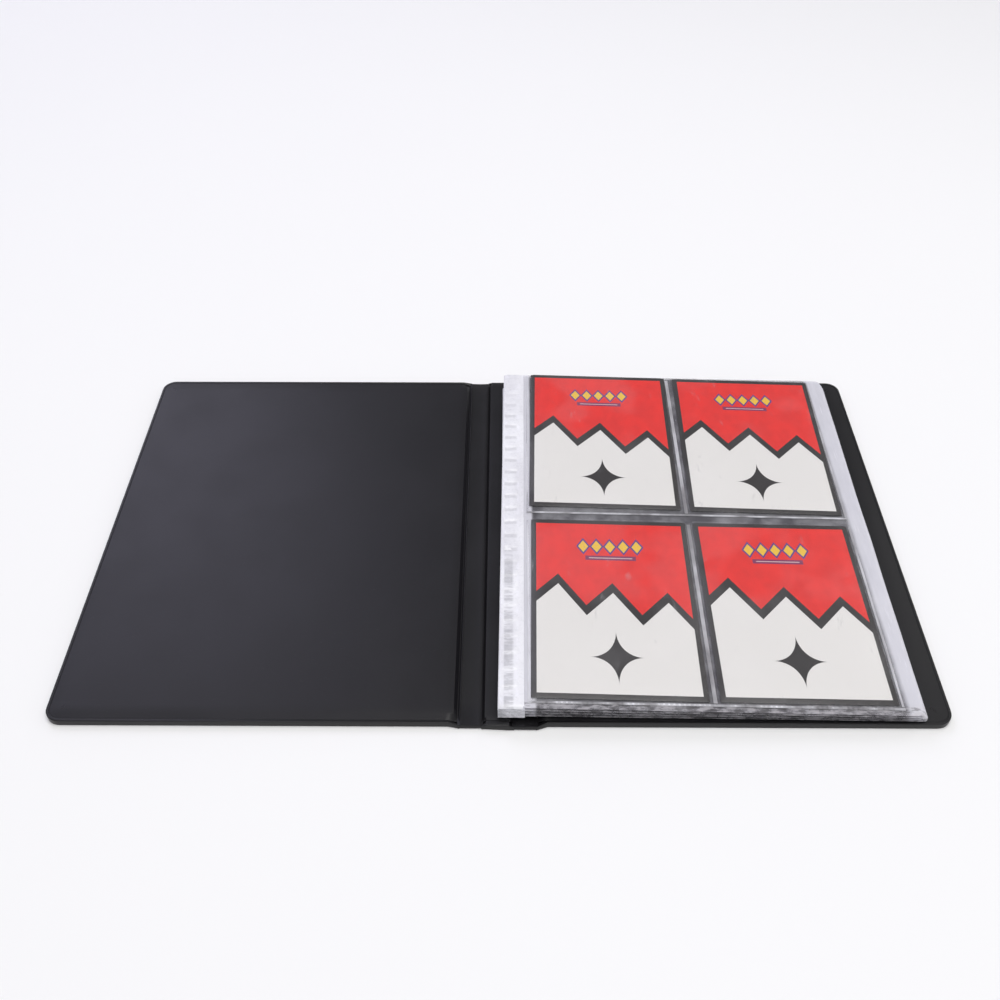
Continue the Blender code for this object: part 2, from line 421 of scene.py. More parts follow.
def makeTopFilm():  # the clear front of the upper leaf's pockets
    film = Finish("topPocketFilm", IOR=1.46, Specular_IOR_Level=0.7)
    at = film.place()
    mottle = film.noise(at, 60.0, 3.0, 0.6)
    crinkle = film.noise(film.stretched(at, (1.0, 0.35, 1.0)), 260.0, 3.0, 0.6)
    # painted sheen: whitish patches over the sleeves, from a paler base colour and a little more alpha where
    # the film clings
    clingAndSheen = film.between(film.noise(at, 34.0, 2.0, 0.5), 0.45, 0.62)
    x = film.split(at)[0]
    outer = film.between(x, 12.9 * mm, 12.3 * mm) + film.between(x, 151.2 * mm, 151.9 * mm)
    film.feed(
        Base_Color=film.blendColours(clingAndSheen, (0.60, 0.60, 0.64), (0.90, 0.90, 0.94)),
        Alpha=0.014 + clingAndSheen * 0.012 + film.between(crinkle, 0.62, 0.80) * 0.06 + outer * 0.42,
        Roughness=0.09 + mottle * 0.12,
        Normal=film.bump(mottle * 0.8 + crinkle * 0.2, 0.0005, 0.5),
    )
    return film


topPocketFilm = makeTopFilm()


def makeWeld(name, colour, alpha, shadedLayers, marksAndHighlights=False):  # film ends fused together, whitened by the heat
    weld = Finish(name, IOR=1.46, Specular_IOR_Level=0.6)
    at = weld.place()
    x, y, z = weld.split(at)[:3]
    crack = weld.noise(at, 420.0, 4.0, 0.7)
    cloud = weld.noise(weld.stretched(at, (1.0, 0.3, 1.0)), 90.0, 3.0, 0.6)
    shade = weld.blendColours(weld.between(cloud, 0.35, 0.68), colour, (0.88, 0.88, 0.93))
    if shadedLayers:
        # painted shade: dark bands in the gaps between the stacked film layers of the core
        layer = weld.node("ShaderNodeMath", {"operation": "FRACT"}, {0: z / (0.32 * mm) + crack * 0.5})
        dark = weld.between(layer, 0.55, 0.9)
        shade = weld.blendColours(dark * 0.75, shade, (0.10, 0.10, 0.11))
    if marksAndHighlights:  # the welding bar's marks: faint pads at the head, a grey worked column towards the foot; and a painted highlight, white crescents on the bulges
        across = weld.between(x, 1.9 * mm, 2.6 * mm) * weld.between(x, 6.4 * mm, 5.2 * mm)
        wide = weld.between(x, 1.9 * mm, 2.6 * mm) * weld.between(x, 8.4 * mm, 7.0 * mm)
        bars = weld.noise(weld.stretched(at, (0.16, 1.0, 0.1)), 560.0, 3.0, 0.7)
        marks = weld.noise(weld.stretched(at, (0.6, 1.0, 0.1)), 190.0, 3.0, 0.6)
        pitch = weld.node(
            "ShaderNodeMath", {"operation": "PINGPONG"}, {0: y + (marks - 0.5) * 0.003, 1: 4.0 * mm}
        )
        pad = weld.between(pitch, 2.6 * mm, 3.6 * mm)
        low = weld.between(y, -14.0 * mm, -34.0 * mm)
        high = weld.between(y, 96.0 * mm, 60.0 * mm) * (1.0 - low)
        grey = across * low * weld.between(bars, 0.34, 0.60) * 0.50 + wide * high * pad * 0.26
        shade = weld.blendColours(grey, shade, (0.30, 0.30, 0.33))
        # painted highlight: white crescents where the film bulges between the pads
        glint = (wide * weld.between(marks, 0.60, 0.70)
                 * weld.between(abs(y + 10.0 * mm), 60.0 * mm, 30.0 * mm))
        shade = weld.blendColours(glint * 0.8, shade, (0.97, 0.97, 1.0))
    weld.feed(
        Base_Color=shade,
        Alpha=alpha,
        Roughness=0.16 + crack * 0.25,
        Normal=weld.bump(crack * 0.5 + cloud * 0.8, 0.0003, 0.6),
    )
    return weld


stripFilm = makeWeld("stripFilm", (0.76, 0.755, 0.81), 0.96, False, True)
stripCore = makeWeld("stripCore", (0.50, 0.50, 0.54), 1.0, True)
weldFilm = makeWeld("weldFilm", (0.36, 0.35, 0.37), 0.55, False)
padFilm = makeWeld("padFilm", (0.17, 0.165, 0.175), 0.85, False)

artLook = {  # millimetres from the sleeve's lower left corner
    "width": 66.0,
    "height": 91.0,
    "border": 2.1,
    "ridge": 46.5,
    "tilt": -0.20,
    "peak": 7.0,
    "peakPitch": 22.0,
    "bandHalf": 2.6,
    "red": (0.80, 0.024, 0.018),
    "white": (0.76, 0.742, 0.72),
    "dark": (0.024, 0.021, 0.021),
    "gold": (0.80, 0.50, 0.045),
    "violet": (0.10, 0.045, 0.22),
}


def makePrint():
    sheet = Finish("sleevePrint", IOR=1.5, Specular_IOR_Level=0.5)
    u, v = sheet.split(sheet.mapped())[:2]
    x = u * artLook["width"]
    y = v * artLook["height"]
    fromMiddle = x - artLook["width"] / 2

    swing = sheet.node(
        "ShaderNodeMath", {"operation": "PINGPONG"}, {0: abs(fromMiddle), 1: artLook["peakPitch"] / 2}
    )
    ridge = (artLook["ridge"] + fromMiddle * artLook["tilt"] + artLook["peak"]
             - swing * (2 * artLook["peak"] / (artLook["peakPitch"] / 2)))
    rise = y - ridge
    sky = rise > 0.0
    band = abs(rise) < artLook["bandHalf"]
    ink = sheet.noise(sheet.mapped(), 9.0, 3.0, 0.6)
    red = sheet.blendColours(sheet.between(ink, 0.3, 0.7), artLook["red"], (0.70, 0.020, 0.016))
    colour = sheet.blendColours(sky, artLook["white"], red)
    colour = sheet.blendColours(band, colour, artLook["dark"])

    starX = abs(fromMiddle) / 10.5
    starY = abs(y - 19.0) / 12.5
    star = (starX ** 0.55 + starY ** 0.55) < 1.0
    colour = sheet.blendColours(star, colour, artLook["dark"])

    cell = sheet.node("ShaderNodeMath", {"operation": "WRAP"}, {0: fromMiddle, 1: 2.8, 2: -2.8})
    lozenge = abs(cell) / 2.3 + abs(y - 76.0) / 3.6
    row = abs(fromMiddle) < 14.0
    colour = sheet.blendColours((lozenge < 1.30) * row, colour, artLook["violet"])
    colour = sheet.blendColours((lozenge < 0.92) * row, colour, artLook["gold"])
    bar = (abs(fromMiddle) < 10.5) * (abs(y - 69.6) < 1.2)
    colour = sheet.blendColours(bar, colour, (0.21, 0.030, 0.10))
    seam = (abs(fromMiddle) < 9.0) * (abs(y - 69.6) < 0.25)
    colour = sheet.blendColours(seam, colour, (0.62, 0.42, 0.44))

    side = (abs(fromMiddle) > artLook["width"] / 2 - artLook["border"])
    end = abs(y - artLook["height"] / 2) > artLook["height"] / 2 - artLook["border"]
    colour = sheet.blendColours(side + end - side * end, colour, artLook["dark"])
    speck = sheet.noise(sheet.stretched(sheet.mapped(), (660.0, 910.0, 1.0)), 1.0, 1.0, 0.5)
    colour = sheet.blendColours(0.006 + speck * 0.018, colour, (0.45, 0.44, 0.46))
    sheet.feed(
        Base_Color=colour,
        Roughness=0.26 + ink * 0.16,
        Normal=sheet.bump(speck * 0.15 + sheet.noise(sheet.mapped(), 5.0, 2.0, 0.5), 0.0006, 0.25),
    )
    return sheet


sleevePrint = makePrint()


def makeClearSleeve():
    sheet = Finish("sleeveBack", IOR=1.46)
    at = sheet.place()
    clingAndSheen = sheet.noise(at, 70.0, 3.0, 0.6)
    sheet.feed(
        Base_Color=sheet.blendColours(clingAndSheen, (0.70, 0.71, 0.75), (0.90, 0.90, 0.93)),
        Alpha=0.16 + clingAndSheen * 0.12,
        Roughness=0.12 + clingAndSheen * 0.15,
        Normal=sheet.bump(clingAndSheen, 0.0003, 0.4),
    )
    return sheet


sleeveBack = makeClearSleeve()


def makeCardStock():  # a plain face: pale frame, coloured panel, fine print texture
    card = Finish("cardStock", Specular_IOR_Level=0.5)
    u, v = card.split(card.mapped())[:2]
    x = abs(u - 0.5) * 63.0
    y = v * 88.0
    frameArea = (x > 28.6) + (abs(y - 44.0) > 41.1)
    panel = (abs(y - 60.0) < 19.0) * (x < 26.4)
    tone = card.noise(card.mapped(), 5.0, 4.0, 0.6)
    colour = card.blendColours(tone, (0.42, 0.50, 0.60), (0.62, 0.66, 0.66))
    picture = card.blendColours(card.between(tone, 0.35, 0.65), (0.16, 0.30, 0.42), (0.62, 0.48, 0.26))
    colour = card.blendColours(panel, colour, picture)
    colour = card.blendColours(frameArea, colour, (0.82, 0.80, 0.74))
    fibre = card.noise(card.place(), 1500.0, 3.0, 0.6)
    card.feed(Base_Color=colour, Roughness=0.38 + fibre * 0.14, Normal=card.bump(fibre, 0.00004, 0.4))
    return card


cardStock = makeCardStock()
print("finishes ready")


# covers

coverLook = {
    "rim": 1.2 * mm,
    "floor": 0.4 * mm,
    "corner": 6.0 * mm,
    "edgeRound": 0.50 * mm,
    "liningGap": 0.04 * mm,
    "liningRoll": 4.2 * mm,
    "liningRise": 0.26 * mm,
    "liningTop": 2.90 * mm,
    "hingeWall": 0.85 * mm,
    "hingeEnd": 2.05 * mm,
    "shoulder": 4.4 * mm,
    "shoulderFoot": 14.0 * mm,
    "slopeTop": 1.02 * mm,
    "slopeUnder": 0.90 * mm,
    "spineShoulder": 1.9 * mm,
}


def roundCorners(piece, atX, radius, segments=8):
    pick(piece, "EDGE", lambda at, way: abs(way.z) > 0.9 and abs(at.x - atX) < 0.01 * mm)
    bpy.ops.mesh.bevel(offset=radius, segments=segments, affect="EDGES")


def makeSkin(name, node, outerX, hingeX, slope, rim, flare):
    low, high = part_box(node)
    skin = addBlock(name, low, high)
    openMesh(skin)
    if outerX is not None:
        roundCorners(skin, outerX, coverLook["corner"])
    pick(skin, "FACE", lambda at, way: way.z > 0.9)
    bpy.ops.mesh.inset(thickness=rim)
    bpy.ops.mesh.extrude_region_move(TRANSFORM_OT_translate={"value": (0, 0, coverLook["floor"] - high.z)})
    for edgeX in hingeX:  # along a hinge the wall is pressed down, the lining runs out over it
        inward = slope if edgeX < (low.x + high.x) / 2 else -slope
        rule([edgeX + inward], (1, 0, 0))
        pick(skin, "VERT", lambda at, way: at.z > 0.7 * high.z and abs(at.x - edgeX) < rim * 1.1)
        moveBy(z=coverLook["hingeWall"] - high.z)
        pick(skin, "VERT", lambda at, way: abs(at.y) > high.y - 0.01 * mm and abs(at.x - edgeX) < rim * 1.1
             and at.z > 0.7 * coverLook["hingeWall"])
        moveBy(z=coverLook["hingeEnd"] - coverLook["hingeWall"])
    for edgeX, reach in flare:  # the near edge was trimmed a little long towards the spine
        pick(skin, "VERT", lambda at, way: at.y < low.y + 0.01 * mm and abs(at.x - edgeX) < 3 * mm)
        moveBy(y=-reach)
    closeMesh()
    finishWith(
        skin, "BEVEL", width=coverLook["edgeRound"], segments=4, limit_method="ANGLE",
        angle_limit=math.radians(38), use_clamp_overlap=True,
    )
    smoothOver(skin, 40)
    dress(skin, coverVinyl)
    return skin


def makeLining(name, skinNode, node, outerX, hinges, slope, roll, rise, top):
    low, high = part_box(skinNode)
    gap = coverLook["rim"] + coverLook["liningGap"]
    low = [low.x + gap, low.y + gap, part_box(node)[0].z]
    high = [high.x - gap, high.y - gap, top - rise]
    for hingeX in hinges:
        side = 0 if abs(low[0] - hingeX) < abs(high[0] - hingeX) else 1
        (low, high)[side][0] = hingeX
    lining = addBlock(name, low, high)
    openMesh(lining)
    if outerX is not None:
        side = low[0] if abs(low[0] - outerX) < abs(high[0] - outerX) else high[0]
        roundCorners(lining, side, coverLook["corner"] - coverLook["rim"] - coverLook["liningGap"])
    pick(lining, "FACE", lambda at, way: way.z > 0.9)
    bpy.ops.mesh.inset(thickness=roll)
    moveBy(z=rise)
    pick(lining, "EDGE", lambda at, way: at.z > top - 0.01 * mm and abs(way.z) < 0.05)
    bpy.ops.mesh.bevel(offset=roll * 0.38, segments=4, affect="EDGES")
    for hingeX in hinges:  # the vinyl slopes down to the valley
        rule([hingeX + (slope if hingeX < (low[0] + high[0]) / 2 else -slope)], (1, 0, 0))
        pick(lining, "VERT", lambda at, way: at.z > top - rise - 0.05 * mm and abs(at.x - hingeX) < 0.01 * mm)
        moveBy(z=coverLook["slopeTop"] - (top - rise))
        pick(lining, "VERT", lambda at, way: at.z < low[2] + 0.01 * mm and abs(at.x - hingeX) < 0.01 * mm)
        moveBy(z=coverLook["slopeUnder"] - low[2])
    rule(spread(low[0], high[0], max(6, round((high[0] - low[0]) / (6 * mm))))[1:-1], (1, 0, 0))
    rule(spread(low[1], high[1], 34)[1:-1], (0, 1, 0))
    closeMesh()
    ripple(lining, "liningWave", 0.055, 0.22 * mm, lambda at: ramp(at.z, low[2], top) * (
        ramp(at.x, low[0], low[0] + 6 * mm) * ramp(at.x, high[0], high[0] - 6 * mm)))
    smoothOver(lining, 40)
    dress(lining, liningVinyl)
    return lining


coverPieces = {}
for word, body, sideSign in (("front", "front_cover", -1), ("back", "back_cover", 1)):
    low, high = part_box(f"{word}_outer_skin")
    outer, inner = (low.x, high.x) if sideSign < 0 else (high.x, low.x)
    flare = [(inner, 0.9 * mm)] if word == "front" else [(inner, 1.6 * mm), (outer, 0.7 * mm)]
    skin = makeSkin(f"{word}_cover_shell", f"{word}_outer_skin", outer, [inner], coverLook["shoulder"],
                    coverLook["rim"], flare)
    lining = makeLining(
        f"{word}_cover_panel", f"{word}_outer_skin", f"{word}_liner", outer,
        [sideSign * coverLook["shoulderFoot"]],
        coverLook["shoulder"], coverLook["liningRoll"], coverLook["liningRise"], coverLook["liningTop"]
    )
    for piece, node, slot in (
        (skin, f"{word}_outer_skin", "outer_skin"), (lining, f"{word}_liner", "lining")
    ):
        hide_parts(node)
        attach(piece, body)
    coverPieces[word] = (outer, inner)
    dress(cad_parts[f"{word}_board"], greyBoard)

low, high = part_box("spine_outer_skin")
spineSkin = makeSkin("spine_shell", "spine_outer_skin", None, [low.x, high.x], coverLook["spineShoulder"],
                     coverLook["rim"], [(low.x, 1.1 * mm), (high.x, 1.5 * mm)])
spineLining = makeLining(
    "spine_panel", "spine_outer_skin", "spine_liner", None, [low.x + 0.05 * mm, high.x - 0.05 * mm],
    coverLook["spineShoulder"], coverLook["spineShoulder"], 0.10 * mm, 2.68 * mm
)
for piece, node, slot in (
    (spineSkin, "spine_outer_skin", "outer_skin"), (spineLining, "spine_liner", "lining")
):
    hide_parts(node)
    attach(piece, "spine")
dress(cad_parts["spine_board"], greyBoard)
print("covers and spine ready")


# flexible webs between the boards

webLook = {
    "thickness": 0.35 * mm,
    "profile": [(5.5, 0.82), (6.1, 0.86), (6.7, 0.92), (7.4, 0.90), (8.6, 0.86), (9.8, 0.85), (11.0, 0.86),
                (12.2, 0.88), (13.2, 0.92), (13.9, 0.96), (14.5, 0.92), (15.1, 0.84)],
    "endRise": 1.22 * mm,
}


def makeWeb(name, node, sideSign, bodies):
    low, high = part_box(node)
    lines = sorted(sideSign * x * mm for x, z in webLook["profile"])
    web = addSheet(name, lines, spread(low.y - 0.2 * mm, high.y + 0.2 * mm, 40), 0.0)
    openMesh(web)
    for x, z in webLook["profile"]:
        pick(web, "VERT", lambda at, way: abs(at.x - sideSign * x * mm) < 0.02 * mm)
        moveBy(z=z * mm)
    pick(web, "VERT", lambda at, way: at.y > high.y - 0.5 * mm)  # the welded ends stand up a little
    moveBy(z=webLook["endRise"])
    pick(web, "VERT", lambda at, way: at.y < low.y + 0.5 * mm)
    moveBy(z=webLook["endRise"], y=-(1.75 if sideSign > 0 else 1.15) * mm)
    for lastY, turned in ((low.y, -0.25 * mm), (high.y, 0.25 * mm)):  # and are closed by a small flange
        pick(web, "EDGE", lambda at, way: abs(at.y - lastY) < 2.5 * mm and abs(way.x) > 0.5
             and at.z > 1.6 * mm)
        bpy.ops.mesh.extrude_region_move(TRANSFORM_OT_translate={"value": (0, turned, -0.35 * mm)})
        bpy.ops.mesh.extrude_region_move(TRANSFORM_OT_translate={"value": (0, 0, -1.25 * mm)})
    closeMesh()
    ripple(web, "webWave", 0.03, 0.12 * mm, lambda at: (
        ramp(abs(at.x), 6.2 * mm, 7.0 * mm) * ramp(abs(at.x), 14.2 * mm, 13.4 * mm)))
    thicken(web, webLook["thickness"])
    smoothOver(web, 50)
    dress(web, coverVinyl)
    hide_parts(node)
    if bodies[0] == "back_cover":
        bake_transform(web)
    else:
        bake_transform(web)
    return web


makeWeb("front_hinge_vinyl", "front_hinge_web", -1, ("spine", "front_cover"))
makeWeb("back_hinge_vinyl", "back_hinge_web", 1, ("back_cover", "spine"))
print("hinge webs ready")


# page block: everything here is turned a little on the spine, as it was sealed in by hand

blockLook = {
    "turn": math.radians(-0.5),
    "pivot": (11.0 * mm, 0, 0),
    "leftRise": 3.3 * mm,
    "leftPitch": 0.683 * mm,
    "rightRise": 3.0 * mm,
    "rightPitch": 0.455 * mm,
    "hingeX": 11.0 * mm,
    "slopeStart": 12.0 * mm,
    "slopeEnd": 160.0 * mm,
}
stripLow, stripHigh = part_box("binding_strip")
leafCount = sum(1 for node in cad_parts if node.startswith("leaf_") and node.endswith("_backing"))


def skew(piece):
    openMesh(piece)
    bpy.ops.mesh.select_all(action="SELECT")
    turnBy(blockLook["turn"], "Z", blockLook["pivot"])
    closeMesh()


tabLook = {"left": 1.35 * mm, "right": 5.4 * mm, "low": 2.86 * mm, "high": 3.18 * mm, "film": 0.09 * mm}


def makeTab():  # a film folded on itself, sealed to the spine below and to the strip above
    low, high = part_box("binding_tab")
    tab = addSheet(
        "binding_fold", spread(tabLook["left"], tabLook["right"], 6), spread(low.y, high.y, 12),
        tabLook["low"]
    )
    openMesh(tab)
    pick(tab, "EDGE", lambda at, way: abs(at.x - tabLook["left"]) < 0.02 * mm and abs(way.y) > 0.9)
    rise = tabLook["high"] - tabLook["low"]
    for step in range(6):  # half a turn round the fold
        a, b = math.pi * step / 6, math.pi * (step + 1) / 6
        bpy.ops.mesh.extrude_region_move(TRANSFORM_OT_translate={"value": (
            -(math.sin(b) - math.sin(a)) * rise / 2, 0, (math.cos(a) - math.cos(b)) * rise / 2)})
    bpy.ops.mesh.extrude_region_move(
        TRANSFORM_OT_translate={"value": (tabLook["right"] - tabLook["left"], 0, 0)}
    )
    closeMesh()
    thicken(tab, tabLook["film"], 0.0)
    smoothOver(tab, 60)
    dress(tab, stripFilm)
    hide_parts("binding_tab")
    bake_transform(tab)


makeTab()

stripLook = {
    "left": 0.9 * mm,
    "right": 11.0 * mm,
    "coreTop": 9.05 * mm,
    "filmTop": 9.66 * mm,
    "footReach": 1.1 * mm,
    "headReach": 2.6 * mm,
    "padLeft": 2.5 * mm,
    "padRight": 7.7 * mm,
    "padDepth": 0.24 * mm,
    "padPitch": 8.0 * mm,
    "padShare": 0.56,
}


def makeStrip():
    foot, head = stripLow.y - stripLook["footReach"], stripHigh.y + stripLook["headReach"]
    core = addBlock(
        "fused_film_ends", (stripLook["left"], foot, stripLow.z),
        (stripLook["right"], head, stripLook["coreTop"])
    )
    openMesh(core)
    layers = 18
    levels = spread(stripLow.z, stripLook["coreTop"], layers * 2)
    rule(levels[1:-1], (0, 0, 1))
    for number in range(layers):
        level = levels[number * 2 + 1]
        tuck = (0.10 + 0.14 * ((number * 7) % 5) / 4) * mm
        for side, shift in ((foot, tuck * 2.2), (head, -tuck)):
            pick(core, "VERT", lambda at, way: abs(at.z - level) < 0.02 * mm and abs(at.y - side) < 0.3 * mm)
            moveBy(y=shift)
        pick(core, "VERT", lambda at, way: abs(at.z - level) < 0.02 * mm
             and abs(at.x - stripLook["left"]) < 0.3 * mm)
        moveBy(x=tuck)
    rule(spread(foot, head, 40)[1:-1], (0, 1, 0))
    rule(spread(stripLook["left"], stripLook["right"], 12)[1:-1], (1, 0, 0))
    closeMesh()
    finishWith(core, "DISPLACE", texture=roughTexture("endWear", 0.0016), strength=0.55 * mm, mid_level=0.5,
               direction="Y", texture_coords="LOCAL")
    smoothOver(core, 30)
    dress(core, stripCore)

    yLines = [foot, foot + 0.6 * mm, foot + 1.6 * mm]
    pads = []
    count = int((stripHigh.y - stripLow.y) / stripLook["padPitch"])
    first = stripLow.y + ((stripHigh.y - stripLow.y) - (count - 1) * stripLook["padPitch"]) / 2
    half = stripLook["padPitch"] * stripLook["padShare"] / 2
    for number in range(count):
        middle = first + number * stripLook["padPitch"]
        pads.append((middle - half, middle + half))
        yLines += [middle - half - 0.5 * mm, middle - half, middle, middle + half, middle + half + 0.5 * mm]
    yLines += [head - 1.2 * mm, head]
    xLines = [stripLook["left"], stripLook["left"] + 0.4 * mm, 2.1 * mm,
              stripLook["padLeft"], 4.2 * mm, 6.0 * mm,
              stripLook["padRight"], 8.3 * mm, 9.7 * mm, stripLook["right"] - 0.35 * mm]
    yLines = sorted(line for line in yLines if foot <= line <= head)
    film = addSheet("ribbed_weld_film", xLines, yLines, stripLook["filmTop"])
    openMesh(film)
    pick(film, "FACE", lambda at, way: stripLook["padLeft"] < at.x < stripLook["padRight"]
         and any(low < at.y < high for low, high in pads))
    moveBy(z=-stripLook["padDepth"])
    pick(film, "FACE", lambda at, way: stripLook["padLeft"] < at.x < stripLook["padRight"]
         and not any(low - 0.5 * mm < at.y < high + 0.5 * mm for low, high in pads))
    moveBy(z=0.22 * mm)
    pick(film, "VERT", lambda at, way: at.x < stripLook["left"] + 0.1 * mm)  # the lip rolls down to the ends
    moveBy(x=-0.05 * mm, z=-0.5 * mm)
    pick(film, "VERT", lambda at, way: at.x > stripLook["right"] - 0.5 * mm)
    moveBy(z=-0.12 * mm)
    pick(film, "VERT", lambda at, way: at.y < foot + 0.3 * mm)  # and rolls over the foot
    moveBy(z=-0.9 * mm, y=-0.1 * mm)
    pick(film, "VERT", lambda at, way: foot + 0.3 * mm < at.y < foot + 0.9 * mm)
    moveBy(z=-0.15 * mm)
    closeMesh()
    finishWith(film, "SUBSURF", levels=2, render_levels=2, boundary_smooth="PRESERVE_CORNERS")
    ripple(film, "padWave", 0.005, 0.42 * mm, lambda at: (
        ramp(at.x, 1.8 * mm, 3.0 * mm) * ramp(at.x, 10.8 * mm, 8.0 * mm)))
    ripple(film, "stripWave", 0.035, 0.30 * mm, lambda at: 1.0)
    thicken(film, 0.14 * mm)
    smoothOver(film, 60)
    dress(film, stripFilm)
    skew(core)
    skew(film)
    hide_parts("binding_strip")
    for piece in (core, film):
        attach(piece, "page_block")


makeStrip()
print("binding strip ready")


# leaves

leafLook = {
    "film": 0.12 * mm,
    "pocketFilm": 0.10 * mm,
    "rightEdge": 160.0 * mm,
    "foot": -100.3 * mm,
    "head": 99.7 * mm,
    "corner": 2.2 * mm,
    "pocketLeft": 11.9 * mm,
    "pocketRight": 152.4 * mm,
    "weld": 1.3 * mm,
    "columnWeld": (80.9 * mm, 83.0 * mm),
    "lowerRow": (-98.4 * mm, -2.6 * mm),
    "upperRow": (1.6 * mm, 98.2 * mm),
    "emptyRise": 0.17 * mm,
    "fullRise": 1.02 * mm,
    "fan": 3.4 * mm,
}


def leafLift(number):  # height of a leaf at the crease, and its slope down to the fore edge
    level = leafCount - number
    left = blockLook["leftRise"] + level * blockLook["leftPitch"]
    right = blockLook["rightRise"] + level * blockLook["rightPitch"]
    return left, (right - left) / (blockLook["slopeEnd"] - blockLook["slopeStart"])


def settle(piece, number):  # sets a flat piece of a leaf into the leaf's slope, on the crease
    left, slope = leafLift(number)
    openMesh(piece)
    bpy.ops.mesh.select_all(action="SELECT")
    moveBy(z=left)
    turnBy(math.atan(-slope), "Y", (blockLook["slopeStart"], 0, left))
    closeMesh()


def layWave(piece):  # the whole stack lies in the same shallow waves
    ripple(piece, "stackWave", 0.07, 0.55 * mm, lambda at: ramp(at.x, 25 * mm, 120 * mm) * 0.9, middle=0.55)


def makeBacking():
    webLines = spread(10.85 * mm, 11.15 * mm, 12)
    xLines = [10.3 * mm] + webLines + [12.5 * mm, 16 * mm] + spread(22 * mm, 148 * mm, 18) + [
        151 * mm, 153 * mm, 155 * mm, 157 * mm, 158.6 * mm, leafLook["rightEdge"]]
    foot, head = leafLook["foot"], leafLook["head"]
    yLines = [foot, foot + 0.8 * mm, foot + 1.8 * mm, foot + 3 * mm] + spread(foot + 6 * mm, head, 34)
    return addSheet("leafBlank", xLines, yLines, 0.0, leafLook["corner"])


def makePockets(name, row, rise, fineness):
    foot, head = leafLook[row]
    weld = leafLook["weld"]
    left, right = leafLook["pocketLeft"], leafLook["pocketRight"]
    midLeft, midRight = leafLook["columnWeld"]
    xLines = [left, left + weld, left + weld + rise * 0.7]
    xLines += spread(left + weld + 3 * mm, midLeft - 3 * mm, fineness)
    xLines += [midLeft - rise * 0.7, midLeft, midRight, midRight + rise * 0.7]
    xLines += spread(midRight + 3 * mm, right - weld - 3 * mm, fineness)
    xLines += [right - weld - rise * 0.7, right - weld, right]
    yLines = [foot, foot + weld, foot + weld + rise * 0.7]
    yLines += spread(foot + weld + 3 * mm, head - 3 * mm, fineness + 3) + [
        head - 0.6 * mm, head]
    sheet = addSheet(name, xLines, yLines, leafLook["film"] / 2 + leafLook["pocketFilm"])
    openMesh(sheet)
    reach = rise * 0.69
    pick(sheet, "VERT", lambda at, way: at.y > foot + weld + reach and (
        left + weld + reach < at.x < midLeft - reach or midRight + reach < at.x < right - weld - reach))
    moveBy(z=rise)
    pick(sheet, "VERT", lambda at, way: at.y > head - 0.1 * mm and at.z > rise * 0.5)  # the open lip
    moveBy(z=0.10 * mm)
    closeMesh()
    return sheet


blank = makeBacking()
blankPockets = {
    row: makePockets(f"{row}Blank", row, leafLook["emptyRise"], 8) for row in ("lowerRow", "upperRow")
}

for number in range(leafCount, 0, -1):
    name = f"leaf_{number:02d}"
    below = "page_block" if number == leafCount else f"leaf_{number + 1:02d}"
    full = number == 1
    left, slope = leafLift(number)
    jitter = ((number * 37) % 11) / 10 - 0.5  # no two leaves are cut quite alike

    backing = copyOf(blank, f"{name}_sheet")
    openMesh(backing)
    pick(backing, "VERT", lambda at, way: at.x > 150 * mm)
    share = (leafCount - number) / (leafCount - 1)
    moveBy(x=(0.6 - share) * leafLook["fan"] * 0.7 + jitter * 0.9 * mm)
    pick(backing, "VERT", lambda at, way: at.y < leafLook["foot"] + 0.1 * mm)
    moveBy(y=jitter * 0.8 * mm - 0.1 * mm + (1 - share) * 0.4 * mm)
    closeMesh()
    settle(backing, number)
    layWave(backing)
    ripple(backing, f"edgeWave{number}", (26 + 3.1 * number) * mm, (0.75 + 0.5 * (number % 3)) * mm,
           lambda at: ramp(at.x, 149 * mm, 158 * mm) ** 1.4, middle=0.5)
    ripple(backing, f"footWave{number}", (17 + 2.3 * number) * mm, 0.5 * mm,
           lambda at: ramp(at.y, -97.3 * mm, -99.9 * mm) * ramp(at.x, 16 * mm, 30 * mm), middle=0.45)
    thicken(backing, leafLook["film"])
    smoothOver(backing, 60)
    skew(backing)
    dress(backing, leafFilm)
    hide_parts(f"{name}_backing")
    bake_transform(backing)

    for row, node in (("lowerRow", "lower_pockets"), ("upperRow", "upper_pockets")):
        if full:
            pocket = makePockets(f"{name}_{node[:5]}_pocket_film", row, leafLook["fullRise"], 12)
        else:
            pocket = copyOf(blankPockets[row], f"{name}_{node[:5]}_pocket_film")
        settle(pocket, number)
        layWave(pocket)
        if full:
            ripple(pocket, f"cling{row}", 0.020, 0.16 * mm, lambda at: 1.0, middle=0.2)
            ripple(pocket, f"buckle{row}", 0.005, 0.9 * mm,
                   lambda at: ramp(at.x, 147.5 * mm, 150.5 * mm) * ramp(at.x, 152.5 * mm, 151.0 * mm),
                   middle=0.5)
        thicken(pocket, leafLook["pocketFilm"])
        smoothOver(pocket, 60)
        skew(pocket)
        dress(pocket, topPocketFilm if full else pocketFilm)
        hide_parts(f"{name}_{node}")
        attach(pocket, name)

for piece in (blank, *blankPockets.values()):
    bpy.data.objects.remove(piece)
print("leaves ready")


# weld lines on the upper leaf, with their row of small knurls

seamLook = {"knurl": 0.85 * mm, "knurlPitch": 1.9 * mm, "height": 0.16 * mm}


